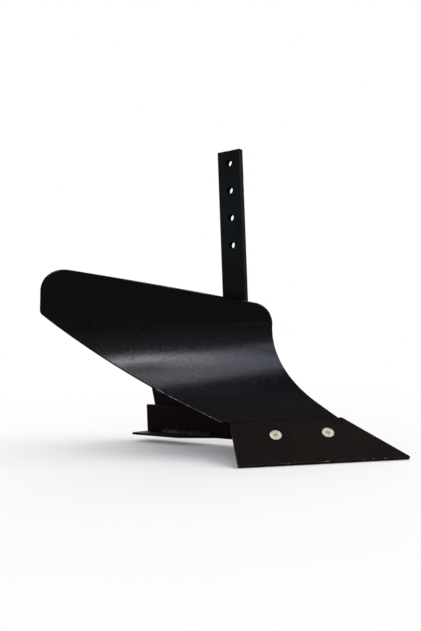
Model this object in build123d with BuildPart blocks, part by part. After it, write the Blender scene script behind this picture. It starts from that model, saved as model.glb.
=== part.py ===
from build123d import *
import math
import os

os.makedirs("parts", exist_ok=True)

# Small right-hand mouldboard plough for a walk-behind tiller.
# +X is the way it travels, +Y is its land side (left) and +Z is up.
# The origin is the middle of the row of hitch holes in the shank.
# Heights are measured up from the cutting edge, and angles are in degrees.

# Shank: flat bar with a row of hitch holes
shank_width = 40.0
shank_thickness = 10.0
shank_corner = 1.2  # rolled long edges
hole_diameter = 10.5
hole_count = 4
hole_pitch = 42.0
hole_margin = 19.0  # top end to the first hole's centre
hitch_height = 369.8  # middle of the hole row

# Share: flat plate, cut square all round, with its cutting edge swept back from the tip
cutting_angle = 36.8  # cutting edge to the line of travel
share_slope = 39.9
share_length = 234.4  # along the cutting edge
share_width = 76.0  # up the slope
share_thickness = 5.0
heel_lean = 3.8  # upper heel corner further back
nose_overhang = 3.5  # past the land side
share_corner = 1.5
share_edge_break = 0.6

# Share screws with their washers and nuts
screw_diameter = 8.0
head_diameter = 17.0
head_angle = 90.0
head_recess = 0.3  # head below the share's face
socket_size = 5.0  # across flats
socket_depth = 3.2
screw_rise = 49.4  # up the slope from the cutting edge
screw_from_frog = 27.5  # front screw, along the cutting edge
screw_from_heel = 57.6  # rear screw, along the cutting edge
screw_clearance = 0.5  # round the screw in the plates
thread_gap = 0.05  # round the screw in its nut
thread_out = 5.7  # past the nut
washer_diameter = 16.0
washer_thickness = 1.6
spring_diameter = 14.2
spring_thickness = 2.2
spring_split = 1.6
nut_size = 13.0  # across flats
nut_height = 6.8
nut_chamfer = 0.7
nut_room = 1.0  # between the nuts and the frog plate

# Mouldboard: one rolled sheet that is straight at its foot.
# Its upper and lower edges are measured round the sheet, up from the foot.
sheet_thickness = 5.0
sheet_slope = 47.0  # of the straight foot
sheet_foot = 25.4  # length of the straight foot
sheet_radius = 156.0  # of the hollow face
wing_reach = 496.7  # upper wing corner behind the tip, along the cutting edge
wing_slant = 8.9  # lower wing corner further back
wing_high = 255.4
wing_low = 184.0
shin_high = 176.9
heel_overhang = 11.1  # lower corner past the share's upper heel corner
lower_square = 60.9  # where the lower edge is cut square to the sheet
wing_corner = 36.0
shin_corner = 32.0
low_corner = 5.0
shank_gap = 3.9  # between the sheet's back and the shank
fit_gap = 0.15  # between the sheet's back and the pieces welded to it

# Share seat behind the share and the foot of the mouldboard
seat_thickness = 6.0
seat_low = 26.0  # up the slope
seat_lap = 10.0  # past the share's upper edge
seat_inset = 12.0  # in from the share's heel

# Landside bar, sole plate under it and frog plate behind it
landside_thickness = 6.0
landside_height = 44.0
landside_reach = 181.0  # behind the shank's centre line
landside_end_gap = 3.0  # to the front rib
sole_clearance = 7.3
sole_thickness = 4.0
sole_width = 34.0
sole_tail = 15.0  # past the landside's rear end
sole_straight = 93.0  # right-hand edge
sole_taper = 59.0
sole_past_rib = 30.0
plate_edge_break = 0.8
frog_thickness = 6.0
frog_set = 13.0  # rear edge ahead of the landside's rear end
frog_rake = 11.5  # rear edge leans back
frog_rear_rise = 45.5  # over the landside
frog_front_rise = 114.5  # over the landside
frog_shoulder = 25.0  # ahead of the shank, where the top edge turns level

# Ribs between the share seat and the land side
rib_thickness = 6.0
front_rib_height = 70.0
front_rib_part = 0.6  # of the way from the front screw to the rear one
heel_rib_inset = 10.0  # in from the seat's end

# Stay bar from the frog plate to the back of the mouldboard
stay_diameter = 14.0
stay_inset = 24.0  # ahead of the frog plate's rear edge
stay_rise = 30.5  # over the landside
stay_from_wing = 151.5  # in from the upper wing corner, along the cutting edge
stay_high = 115.9  # round the sheet

# Welds
weld_leg = 6.0
weld_bulge = 1.0
weld_margin = 4.0  # from a bead's end to the end of its corner
sole_weld_start = 33.0  # from the landside's rear end
sole_weld_length = 96.0
stitch_length = 28.0  # behind the shank
stitch_gap = 12.0  # to the shank's bead and to the landside's front end
rib_weld_stop = 8.0  # from a rib's bead to the rib's top
shin_weld_low = 67.9  # round the sheet
shin_weld_high = 123.9

# Directions and heights
sweep = math.radians(cutting_angle)
slope = math.radians(share_slope)
lift = math.radians(sheet_slope)
up = Vector(0, 0, 1)
right = Vector(0, -1, 0)
ahead = Vector(1, 0, 0)
along = Vector(math.cos(sweep), math.sin(sweep), 0)  # along the cutting edge, to the tip
back = Vector(-math.sin(sweep), math.cos(sweep), 0)  # level and square to the cutting edge
share_normal = up * math.cos(slope) - back * math.sin(slope)
share_rise = up * math.sin(slope) + back * math.cos(slope)
ground_z = -hitch_height
sole_top = sole_clearance + sole_thickness
landside_top = sole_top + landside_height
seat_depth = share_thickness + seat_thickness
seat_high = share_width + seat_lap
wall_y = shank_thickness / 2 + frog_thickness
tip_y = wall_y + nose_overhang
frog_face_y = wall_y - frog_thickness
landside_face_y = frog_face_y - landside_thickness


def slope_spot(rise, depth):
    """Spot on the profile that is so far up the share and so deep behind its face."""
    across = rise * math.cos(slope) + depth * math.sin(slope)
    height = rise * math.sin(slope) - depth * math.cos(slope)
    return Vector(across, height)


# Profile square to the cutting edge: local x is back, local y is height.
# The back of the mouldboard's foot is level with the back of the share.
foot = slope_spot(share_width, share_thickness - sheet_thickness)
foot_dir = Vector(math.cos(lift), math.sin(lift))
foot_normal = Vector(math.sin(lift), -math.cos(lift))
bend_start = foot + foot_dir * sheet_foot
roll_centre = bend_start - foot_normal * sheet_radius
right_angle = 90.0
roll_start = sheet_slope - right_angle
roll_turn = right_angle - roll_start  # round to the top of the roll


def sheet_normal(run):
    """Direction on the profile through the sheet to its back, so far round from the foot."""
    turn = math.radians(roll_start) + max(run - sheet_foot, 0.0) / sheet_radius
    return Vector(math.cos(turn), math.sin(turn))


def sheet_spot(run, depth=0.0):
    """Spot on the profile, so far round the sheet and so deep behind its hollow face."""
    if run < sheet_foot:
        return foot + foot_dir * run + foot_normal * depth
    return roll_centre + sheet_normal(run) * (sheet_radius + depth)


# The tip stands where the sheet's back clears the shank's front corner
sheet_back = roll_centre.X + sheet_radius + sheet_thickness
corner_back = sheet_back + shank_gap + (shank_thickness / 2 + tip_y) * math.cos(sweep)
tip_x = shank_width / 2 + corner_back / math.sin(sweep)
tip = Vector(tip_x, tip_y, ground_z)


def place(reach, spot):
    """Point so far behind the tip along the cutting edge, at a spot on the profile."""
    return tip - along * reach + back * spot.X + up * spot.Y


def reach_at(spot, y):
    """Reach behind the tip where a spot on the profile crosses an upright plane."""
    return (tip_y - y + spot.X * math.cos(sweep)) / math.sin(sweep)


def back_at(reach, y):
    """Distance square to the cutting edge where a reach behind the tip crosses an upright plane."""
    return (reach * math.sin(sweep) + y - tip_y) / math.cos(sweep)


def upright(y):
    """Plane along the travel that faces right."""
    return Plane(origin=(0, y, 0), x_dir=ahead, z_dir=right)


def through_sheet(run):
    """Direction through the sheet to its back, so far round from the foot."""
    normal = sheet_normal(run)
    return back * normal.X + up * normal.Y


def edge_plane(start, end, run):
    """Plane through two points of the sheet, square to the sheet at one run."""
    return Plane(
        origin=start,
        x_dir=end - start,
        z_dir=(end - start).cross(through_sheet(run)),
    )


def corner_waste(corner, first_cut, second_cut, radius):
    """Piece outside a rounded corner of the sheet, between two cuts that face outwards."""
    through = first_cut.z_dir.cross(second_cut.z_dir)
    first_dir = first_cut.z_dir.cross(through).normalized()
    if first_dir.dot(second_cut.z_dir) > 0:
        first_dir = -first_dir
    second_dir = second_cut.z_dir.cross(through).normalized()
    if second_dir.dot(first_cut.z_dir) > 0:
        second_dir = -second_dir
    flat = Plane(origin=corner, x_dir=first_dir, z_dir=first_dir.cross(second_dir))
    opening = math.radians(first_dir.get_angle(second_dir))
    second_local = Vector(math.cos(opening), math.sin(opening))
    bisector = Vector(math.cos(opening / 2), math.sin(opening / 2))
    first_touch = Vector(radius / math.tan(opening / 2), 0)
    second_touch = second_local * first_touch.X
    past_first = Vector(0, -radius / 2)
    past_second = Vector(-math.sin(opening), math.cos(opening)) * (radius / 2)
    outer = bisector * (-radius / 2 / math.sin(opening / 2))
    crown = bisector * (radius / math.sin(opening / 2) - radius)
    with BuildPart() as waste:
        with BuildSketch(flat):
            with BuildLine():
                Polyline(
                    second_touch,
                    second_touch + past_second,
                    outer,
                    first_touch + past_first,
                    first_touch,
                )
                ThreePointArc(first_touch, crown, second_touch)
            make_face()
        extrude(amount=2 * sheet_thickness, both=True)
    return waste.part


def weld_bead(start, end, first_normal, second_normal):
    """Convex bead along the corner of two faces, each given by its outward normal."""
    run = (end - start).normalized()
    first_leg = run.cross(first_normal).normalized()
    if first_leg.dot(second_normal) < 0:
        first_leg = -first_leg
    second_leg = run.cross(second_normal).normalized()
    if second_leg.dot(first_normal) < 0:
        second_leg = -second_leg
    corner = Plane(origin=start, x_dir=first_leg, z_dir=first_leg.cross(second_leg))
    opening = math.radians(first_leg.get_angle(second_leg))
    first_toe = Vector(weld_leg, 0)
    second_toe = Vector(math.cos(opening), math.sin(opening)) * weld_leg
    middle = (first_toe + second_toe) * 0.5
    crown = middle + middle.normalized() * weld_bulge
    with BuildPart() as bead:
        with BuildSketch(corner):
            with BuildLine():
                Polyline(second_toe, Vector(0, 0), first_toe)
                ThreePointArc(first_toe, crown, second_toe)
            make_face()
        extrude(amount=(end - start).dot(corner.z_dir))
    return bead.part


profile_plane = Plane(origin=tip, x_dir=back, z_dir=along)
wall = Plane(origin=(0, wall_y, 0), z_dir=-right)
frog_face = Plane(origin=(0, frog_face_y, 0), z_dir=-right)
landside_face = Plane(origin=(0, landside_face_y, 0), z_dir=-right)
share_face = Plane(origin=place(share_length, Vector(0, 0)), x_dir=along, z_dir=share_normal)
front_screw_reach = reach_at(slope_spot(screw_rise, seat_depth), frog_face_y) + screw_from_frog
rear_screw_reach = share_length - screw_from_heel
screw_spots = [
    (screw_from_heel, screw_rise),
    (share_length - front_screw_reach, screw_rise),
]
screw_hole = screw_diameter + 2 * screw_clearance

# Corner where the share seat's upper end meets the mouldboard's back
lap_depth = sheet_thickness + fit_gap
lap_run = (seat_lap - lap_depth * math.sin(lift - slope)) / math.cos(lift - slope)
lap_corner = sheet_spot(lap_run, lap_depth)

# Ribs stand square to the cutting edge, the front one between the screws
front_rib_reach = front_screw_reach + (rear_screw_reach - front_screw_reach) * front_rib_part
heel_rib_reach = share_length - seat_inset - heel_rib_inset
rib_half = rib_thickness / 2
rib_rear_reach = front_rib_reach + rib_half
rib_foot_x = place(rib_rear_reach, Vector(back_at(rib_rear_reach, frog_face_y), 0)).X

# Room in front of the share seat's back and of the mouldboard's back
beyond = 2 * wing_reach  # past every end of the plough
room_foot = slope_spot(-seat_high, seat_depth)
with BuildPart() as front_room:
    with BuildSketch(profile_plane):
        with BuildLine():
            roll = CenterArc(roll_centre, sheet_radius + lap_depth, roll_start, roll_turn)
            Polyline(
                roll @ 0,
                lap_corner,
                slope_spot(seat_high, seat_depth),
                room_foot,
                room_foot - Vector(beyond, 0),
                roll @ 1 - Vector(beyond, 0),
                roll @ 1,
            )
        make_face()
    extrude(amount=beyond, both=True)

shank_top = (hole_count - 1) * hole_pitch / 2 + hole_margin
shank_foot = ground_z + landside_top
with BuildPart() as shank:
    with BuildSketch(Plane.XZ):
        with Locations((0, shank_foot)):
            Rectangle(shank_width, shank_top - shank_foot, align=(Align.CENTER, Align.MIN))
        with GridLocations(hole_pitch, hole_pitch, 1, hole_count):
            Circle(hole_diameter / 2, mode=Mode.SUBTRACT)
    extrude(amount=shank_thickness / 2, both=True)
    fillet(shank.edges().filter_by(Axis.Z), shank_corner)
shank.part.label = "shank"
export_step(shank.part, "parts/shank.step")

shin_spot = sheet_spot(shin_high)
shin_top = place(reach_at(shin_spot, wall_y), shin_spot)
wing_top = place(wing_reach, sheet_spot(wing_high))
wing_foot = place(wing_reach + wing_slant, sheet_spot(wing_low))
heel_corner = place(share_length + heel_lean + heel_overhang, foot)
top_cut = edge_plane(wing_top, shin_top, (wing_high + shin_high) / 2)
wing_cut = edge_plane(wing_foot, wing_top, (wing_high + wing_low) / 2)
low_cut = edge_plane(heel_corner, wing_foot, lower_square)
shin_low_spot = sheet_spot(shin_high - shin_corner)
shin_low = place(reach_at(shin_low_spot, wall_y), shin_low_spot)
shin_chord = edge_plane(shin_top, shin_low, shin_high)
corner_wastes = [
    corner_waste(wing_top, wing_cut, top_cut, wing_corner),
    corner_waste(wing_foot, wing_cut, low_cut, low_corner),
    corner_waste(shin_top, shin_chord, top_cut, shin_corner),
]
with BuildPart() as mouldboard:
    with BuildSketch(profile_plane.offset(-beyond)):
        with BuildLine():
            Line(foot, bend_start)
            JernArc(bend_start, foot_dir, sheet_radius, roll_turn)
            offset(amount=sheet_thickness, side=Side.RIGHT)
        make_face()
    extrude(amount=beyond)
    for cut in (wall, top_cut, wing_cut, low_cut):
        split(bisect_by=cut, keep=Keep.BOTTOM)
    add(corner_wastes, mode=Mode.SUBTRACT)
mouldboard.part.label = "mouldboard"
export_step(mouldboard.part, "parts/mouldboard.step")

# The share's nose runs along the travel, from the tip up to the mouldboard
nose_reach = reach_at(slope_spot(share_width, 0), tip_y)
with BuildPart() as share:
    with BuildSketch(share_face):
        with BuildLine():
            Polyline(
                (0, 0),
                (share_length, 0),
                (share_length - nose_reach, share_width),
                (-heel_lean, share_width),
                close=True,
            )
        make_face()
    extrude(amount=-share_thickness)
    fillet(share.edges().filter_by(Axis(tip, share_normal)), share_corner)
    with Locations(share_face):
        with Locations(*screw_spots):
            CounterSinkHole(
                screw_hole / 2,
                head_diameter / 2 + head_recess,
                counter_sink_angle=head_angle,
            )
    face_rim = share.faces().sort_by(Axis(tip, share_normal))[-1].outer_wire().edges()
    chamfer(face_rim, share_edge_break)
share.part.label = "share"
export_step(share.part, "parts/share.step")

with BuildPart() as share_seat:
    with BuildSketch(share_face.offset(-share_thickness)):
        with Locations((seat_inset, seat_low)):
            Rectangle(share_length, seat_high - seat_low, align=(Align.MIN, Align.MIN))
        with Locations(*screw_spots):
            Circle(screw_hole / 2, mode=Mode.SUBTRACT)
    extrude(amount=-seat_thickness)
    split(bisect_by=wall, keep=Keep.BOTTOM)
share_seat.part.label = "share_seat"
export_step(share_seat.part, "parts/share_seat.step")

washer_depth = seat_depth + washer_thickness
nut_depth = washer_depth + spring_thickness
screw_depth = nut_depth + nut_height + thread_out
head_height = (head_diameter - screw_diameter) / 2 / math.tan(math.radians(head_angle / 2))
from_top = (Align.CENTER, Align.CENTER, Align.MAX)
with BuildPart() as share_screws:
    with Locations(share_face.offset(-head_recess)):
        with Locations(*screw_spots):
            Cylinder(screw_diameter / 2, screw_depth - head_recess, align=from_top)
            Cone(screw_diameter / 2, head_diameter / 2, head_height, align=from_top)
    with BuildSketch(share_face.offset(-head_recess)):
        with Locations(*screw_spots):
            RegularPolygon(socket_size / 2, 6, major_radius=False)
    extrude(amount=-socket_depth, mode=Mode.SUBTRACT)
share_screws.part.label = "share_screws"
export_step(share_screws.part, "parts/share_screws.step")

with BuildPart() as flat_washers:
    with BuildSketch(share_face.offset(-seat_depth)):
        with Locations(*screw_spots):
            Circle(washer_diameter / 2)
            Circle(screw_hole / 2, mode=Mode.SUBTRACT)
    extrude(amount=-washer_thickness)
flat_washers.part.label = "flat_washers"
export_step(flat_washers.part, "parts/flat_washers.step")

with BuildPart() as spring_washers:
    with BuildSketch(share_face.offset(-washer_depth)):
        with Locations(*screw_spots):
            Circle(spring_diameter / 2)
            Circle(screw_hole / 2, mode=Mode.SUBTRACT)
            Rectangle(
                spring_diameter,
                spring_split,
                align=(Align.MIN, Align.CENTER),
                mode=Mode.SUBTRACT,
            )
    extrude(amount=-spring_thickness)
spring_washers.part.label = "spring_washers"
export_step(spring_washers.part, "parts/spring_washers.step")

with BuildPart() as share_nuts:
    with BuildSketch(share_face.offset(-nut_depth)):
        with Locations(*screw_spots):
            RegularPolygon(nut_size / 2, 6, major_radius=False)
    extrude(amount=-nut_height)
    chamfer(share_nuts.faces().filter_by(share_face).edges(), nut_chamfer)
    with BuildSketch(share_face.offset(-nut_depth)):
        with Locations(*screw_spots):
            Circle(screw_diameter / 2 + thread_gap)
    extrude(amount=-nut_height, mode=Mode.SUBTRACT)
share_nuts.part.label = "share_nuts"
export_step(share_nuts.part, "parts/share_nuts.step")

landside_front = rib_foot_x - landside_end_gap
with BuildPart() as landside_bar:
    with BuildSketch(upright(frog_face_y)):
        with Locations((-landside_reach, ground_z + sole_top)):
            Rectangle(
                landside_reach + landside_front,
                landside_height,
                align=(Align.MIN, Align.MIN),
            )
    extrude(amount=landside_thickness)
    fillet(landside_bar.edges().filter_by(Axis.X).group_by(Axis.Y)[0], plate_edge_break)
landside_bar.part.label = "landside_bar"
export_step(landside_bar.part, "parts/landside_bar.step")

sole_rear = -landside_reach - sole_tail
sole_right = wall_y - sole_width
sole_front = rib_foot_x + sole_past_rib
with BuildPart() as sole_plate:
    with BuildSketch(Plane.XY.offset(ground_z + sole_clearance)):
        with BuildLine():
            Polyline(
                (sole_rear, sole_right),
                (sole_rear + sole_straight, sole_right),
                (sole_rear + sole_straight + sole_taper, landside_face_y),
                (sole_front, landside_face_y),
                (sole_front, wall_y),
                (-landside_reach, wall_y),
                (-landside_reach, landside_face_y),
                close=True,
            )
        make_face()
    extrude(amount=sole_thickness)
    fillet(sole_plate.edges().group_by(Axis.Y)[0].filter_by(Axis.X), plate_edge_break)
sole_plate.part.label = "sole_plate"
export_step(sole_plate.part, "parts/sole_plate.step")

frog_lean = math.tan(math.radians(frog_rake))
frog_rear_x = -landside_reach + frog_set
frog_tail_x = frog_rear_x - frog_lean * frog_rear_rise
frog_turn_x = shank_width / 2 + frog_shoulder
frog_low = ground_z + sole_top
frog_high = ground_z + landside_top + frog_front_rise
with BuildPart() as frog_plate:
    with BuildSketch(upright(wall_y)):
        with BuildLine():
            Polyline(
                (frog_rear_x + frog_lean * landside_height, frog_low),
                (tip_x, frog_low),
                (tip_x, frog_high),
                (frog_turn_x, frog_high),
                (frog_tail_x, ground_z + landside_top + frog_rear_rise),
                close=True,
            )
        make_face()
    extrude(amount=frog_thickness)
    add(front_room.part, mode=Mode.SUBTRACT)
    with BuildSketch(share_face.offset(-seat_depth)):
        with Locations(*screw_spots):
            Circle(nut_size / math.sqrt(3) + nut_room)
    extrude(amount=seat_depth - screw_depth - nut_room, mode=Mode.SUBTRACT)
frog_plate.part.label = "frog_plate"
export_step(frog_plate.part, "parts/frog_plate.step")

with BuildPart() as front_rib:
    with BuildSketch(profile_plane.offset(-front_rib_reach)):
        with Locations((0, sole_top)):
            Rectangle(wing_reach, front_rib_height, align=(Align.MIN, Align.MIN))
    extrude(amount=rib_half, both=True)
    split(bisect_by=frog_face, keep=Keep.BOTTOM)
    add(front_room.part, mode=Mode.SUBTRACT)
front_rib.part.label = "front_rib"
export_step(front_rib.part, "parts/front_rib.step")

seat_top = slope_spot(seat_high, seat_depth).Y
with BuildPart() as heel_rib:
    with BuildSketch(profile_plane.offset(-heel_rib_reach)):
        with Locations((0, sole_top)):
            Rectangle(wing_reach, seat_top - sole_top, align=(Align.MIN, Align.MIN))
    extrude(amount=rib_half, both=True)
    split(bisect_by=landside_face, keep=Keep.BOTTOM)
    add(front_room.part, mode=Mode.SUBTRACT)
heel_rib.part.label = "heel_rib"
export_step(heel_rib.part, "parts/heel_rib.step")

stay_x = frog_rear_x - frog_lean * stay_rise + stay_inset
stay_start = Vector(stay_x, frog_face_y, ground_z + landside_top + stay_rise)
stay_end = place(wing_reach - stay_from_wing, sheet_spot(stay_high, lap_depth))
stay_run = stay_end - stay_start
stay_line = Plane(origin=stay_start, z_dir=stay_run)
with BuildPart() as stay_bar:
    with BuildSketch(stay_line.offset(-stay_diameter)):
        Circle(stay_diameter / 2)
    extrude(amount=stay_run.length + 2 * stay_diameter)
    split(bisect_by=frog_face, keep=Keep.BOTTOM)
    add(front_room.part, mode=Mode.SUBTRACT)
stay_bar.part.label = "stay_bar"
export_step(stay_bar.part, "parts/stay_bar.step")

sole_weld_from = Vector(-landside_reach + sole_weld_start, landside_face_y, frog_low)
sole_bead = weld_bead(sole_weld_from, sole_weld_from + ahead * sole_weld_length, up, right)
with BuildPart() as sole_weld:
    add(sole_bead)
sole_weld.part.label = "sole_weld"
export_step(sole_weld.part, "parts/sole_weld.step")

# Stitches on the landside's top edge, one each side of the shank
shank_side = shank_width / 2 + weld_leg + stitch_gap
stitch_spans = [
    (-shank_side - stitch_length, -shank_side),
    (shank_side, landside_front - stitch_gap),
]
stitch_beads = []
for rear_x, front_x in stitch_spans:
    stitch_from = Vector(rear_x, frog_face_y, shank_foot)
    stitch_to = Vector(front_x, frog_face_y, shank_foot)
    stitch_beads.append(weld_bead(stitch_from, stitch_to, up, right))
with BuildPart() as landside_welds:
    add(stitch_beads)
landside_welds.part.label = "landside_welds"
export_step(landside_welds.part, "parts/landside_welds.step")

# Beads down both edges of the shank, as far up as the frog plate's sloping top edge
frog_top_slope = (frog_front_rise - frog_rear_rise) / (frog_turn_x - frog_tail_x)
shank_weld_rise = frog_front_rise - frog_top_slope * (frog_turn_x + shank_width / 2 + weld_leg)
shank_beads = []
for side in (-1, 1):
    bead_x = side * shank_width / 2
    bead_low = Vector(bead_x, frog_face_y, shank_foot + weld_margin)
    bead_high = Vector(bead_x, frog_face_y, shank_foot + shank_weld_rise - weld_margin)
    shank_beads.append(weld_bead(bead_low, bead_high, ahead * side, right))
with BuildPart() as shank_welds:
    add(shank_beads)
shank_welds.part.label = "shank_welds"
export_step(shank_welds.part, "parts/shank_welds.step")

# Bead along the frog plate's front edge, in its sharp corner with the mouldboard's back
shin_weld_start = math.degrees((shin_weld_low - sheet_foot) / sheet_radius) + roll_start
shin_weld_turn = math.degrees((shin_weld_high - shin_weld_low) / sheet_radius)
shin_weld_slope = weld_leg / 2  # each way, off the bead's outer edge
weld_side = Plane(origin=(0, frog_face_y - weld_leg, 0), z_dir=-right)
with BuildPart() as shin_weld:
    with BuildSketch(profile_plane.offset(-wing_reach)):
        with BuildLine():
            near = CenterArc(roll_centre, sheet_radius + lap_depth, shin_weld_start, shin_weld_turn)
            far = CenterArc(
                roll_centre,
                sheet_radius + lap_depth + weld_leg,
                shin_weld_start,
                shin_weld_turn,
            )
            Line(near @ 0, far @ 0)
            Line(near @ 1, far @ 1)
        make_face()
    extrude(amount=wing_reach)
    split(bisect_by=frog_face, keep=Keep.BOTTOM)
    split(bisect_by=weld_side, keep=Keep.TOP)
    outer_edge = shin_weld.edges().group_by(Axis.Y)[0].sort_by(Axis(tip, back))[-1]
    chamfer(outer_edge, shin_weld_slope)
shin_weld.part.label = "shin_weld"
export_step(shin_weld.part, "parts/shin_weld.step")


def seat_weld_point(rise):
    """Point in the corner of the share seat's back and the frog plate, up the slope."""
    spot = slope_spot(rise, seat_depth)
    return place(reach_at(spot, frog_face_y), spot)


seat_weld_low = (sole_top + seat_depth * math.cos(slope)) / math.sin(slope) + weld_margin
seat_bead = weld_bead(
    seat_weld_point(seat_weld_low),
    seat_weld_point(seat_high - weld_margin),
    -share_normal,
    right,
)
with BuildPart() as seat_weld:
    add(seat_bead)
seat_weld.part.label = "seat_weld"
export_step(seat_weld.part, "parts/seat_weld.step")

# Beads on the share seat's upper end, either side of the front rib.
# The one in front fills the middle half of its room, between the rib's bead and the frog plate.
sheet_back_normal = back * foot_normal.X + up * foot_normal.Y
bead_toe = lap_corner + Vector(weld_leg, 0)
rib_bead_reach = front_rib_reach - rib_half - weld_leg
frog_reach = reach_at(bead_toe, frog_face_y)
front_stop = (rib_bead_reach - frog_reach) / 4
foot_weld_spans = [
    (share_length - seat_inset - weld_margin, rib_rear_reach + weld_margin),
    (rib_bead_reach - front_stop, frog_reach + front_stop),
]
foot_beads = []
for rear_reach, front_reach in foot_weld_spans:
    bead_rear = place(rear_reach, lap_corner)
    bead_front = place(front_reach, lap_corner)
    foot_beads.append(weld_bead(bead_rear, bead_front, share_rise, sheet_back_normal))
with BuildPart() as foot_welds:
    add(foot_beads)
foot_welds.part.label = "foot_welds"
export_step(foot_welds.part, "parts/foot_welds.step")

# Beads on the front of each rib, at the share seat and at the land side
rib_beads = []
for rib_reach, land_y, rib_top in (
    (front_rib_reach - rib_half, frog_face_y, front_rib_height),
    (heel_rib_reach - rib_half, landside_face_y, seat_top - sole_top),
):
    seat_from = place(rib_reach, slope_spot(seat_weld_low, seat_depth))
    seat_to = place(rib_reach, slope_spot(seat_high - rib_weld_stop, seat_depth))
    rib_beads.append(weld_bead(seat_from, seat_to, along, -share_normal))
    land_spot = Vector(back_at(rib_reach, land_y), sole_top + weld_margin)
    land_from = place(rib_reach, land_spot)
    land_to = land_from + up * (rib_top - weld_margin - rib_weld_stop)
    rib_beads.append(weld_bead(land_from, land_to, along, right))
with BuildPart() as rib_welds:
    add(rib_beads)
    add(front_room.part, mode=Mode.SUBTRACT)
rib_welds.part.label = "rib_welds"
export_step(rib_welds.part, "parts/rib_welds.step")

# Rounded collars of weld at both ends of the stay bar
with BuildPart() as stay_welds:
    with Locations(stay_start, stay_end):
        Sphere(stay_diameter / 2 + weld_leg)
    with BuildSketch(stay_line.offset(-stay_diameter)):
        Circle(stay_diameter / 2)
    extrude(amount=stay_run.length + 2 * stay_diameter, mode=Mode.SUBTRACT)
    split(bisect_by=frog_face, keep=Keep.BOTTOM)
    add(front_room.part, mode=Mode.SUBTRACT)
stay_welds.part.label = "stay_welds"
export_step(stay_welds.part, "parts/stay_welds.step")
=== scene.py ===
import math

import bmesh
import bpy
from mathutils import Matrix, Vector, noise


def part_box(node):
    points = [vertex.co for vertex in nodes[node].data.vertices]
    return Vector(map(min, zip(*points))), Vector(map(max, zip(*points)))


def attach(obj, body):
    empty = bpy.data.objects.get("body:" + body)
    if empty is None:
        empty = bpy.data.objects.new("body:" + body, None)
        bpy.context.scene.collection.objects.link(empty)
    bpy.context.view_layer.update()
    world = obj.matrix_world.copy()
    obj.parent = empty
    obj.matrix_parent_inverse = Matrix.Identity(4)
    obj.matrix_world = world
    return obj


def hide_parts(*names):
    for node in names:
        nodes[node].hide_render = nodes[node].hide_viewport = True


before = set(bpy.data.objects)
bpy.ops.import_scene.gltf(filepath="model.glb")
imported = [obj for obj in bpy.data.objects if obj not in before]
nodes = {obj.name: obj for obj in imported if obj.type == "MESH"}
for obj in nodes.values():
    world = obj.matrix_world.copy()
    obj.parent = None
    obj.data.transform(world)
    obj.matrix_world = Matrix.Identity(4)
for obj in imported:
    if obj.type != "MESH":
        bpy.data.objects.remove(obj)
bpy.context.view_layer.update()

mm = 0.001
print("frame loaded:", len(nodes), "CAD nodes")

ploughForm = {
    "cuttingAngle": 36.8,  # cutting edge to the line of travel, degrees
    "shareSlope": 39.9,  # degrees
}
sweep = math.radians(ploughForm["cuttingAngle"])
slope = math.radians(ploughForm["shareSlope"])
up = Vector((0, 0, 1))
along = Vector((math.cos(sweep), math.sin(sweep), 0))  # along the cutting edge, to the tip
back = Vector((-math.sin(sweep), math.cos(sweep), 0))
shareNormal = up * math.cos(slope) - back * math.sin(slope)
shareRise = up * math.sin(slope) + back * math.cos(slope)
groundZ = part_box("share")[0].z


def linear(hexColour):
    parts = [int(hexColour[i:i + 2], 16) / 255 for i in (1, 3, 5)]
    return [c / 12.92 if c <= 0.04045 else ((c + 0.055) / 1.055) ** 2.4 for c in parts] + [1.0]


def perMm(size):  # texture scale for a feature of this many millimetres
    return 1000.0 / size


def addNode(tree, kind, inputs=None, **settings):
    node = tree.nodes.new("ShaderNode" + kind)
    for name, value in settings.items():
        setattr(node, name, value)
    for name, value in (inputs or {}).items():
        if isinstance(value, bpy.types.NodeSocket):
            tree.links.new(value, node.inputs[name])
        else:
            node.inputs[name].default_value = value
    return node


def newMaterial(name):
    material = bpy.data.materials.new(name)
    material.use_nodes = True
    material.node_tree.nodes.clear()
    return material, material.node_tree


# camera where the photograph was taken from
cameraSet = {
    "placeMm": (511.1, -859.3, -178.9),
    "yaw": 32.987,  # degrees, from looking along +Y towards -X
    "pitch": 0.53,
    "roll": -2.095,
    "focalPx": 650.0,
    "framePx": (421, 631),
    "sensorMm": 36.0,
    "nearMm": 10.0,  # nothing nearer than this is drawn
}


def addCamera(choice):
    yaw, pitch, roll = (math.radians(choice[k]) for k in ("yaw", "pitch", "roll"))
    level = Vector((-math.sin(yaw), math.cos(yaw), 0))
    side = Vector((math.cos(yaw), math.sin(yaw), 0))
    look = level * math.cos(pitch) + up * math.sin(pitch)
    top = up * math.cos(pitch) - level * math.sin(pitch)
    right = side * math.cos(roll) + top * math.sin(roll)
    top = top * math.cos(roll) - side * math.sin(roll)
    data = bpy.data.cameras.new("photoCamera")
    data.sensor_width = choice["sensorMm"]
    data.lens = choice["focalPx"] / max(choice["framePx"]) * choice["sensorMm"]
    data.clip_start = choice["nearMm"] * mm
    camera = bpy.data.objects.new("photoCamera", data)
    axes = Matrix((right, top, -look)).transposed().to_4x4()
    camera.matrix_world = Matrix.Translation(Vector(choice["placeMm"]) * mm) @ axes
    bpy.context.scene.collection.objects.link(camera)
    bpy.context.scene.camera = camera


addCamera(cameraSet)
print("camera placed")


# black enamel on steel, for every painted piece
enamelMarks = {
    "cloud": (0.35, 0.65), "grain": (0.3, 0.7),  # parts of the noise's range, from 0 to 1
    "speckSoft": 0.03, "scratchSoft": 0.03, "chipSoft": 0.06,  # how softly the marks end
}


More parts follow.
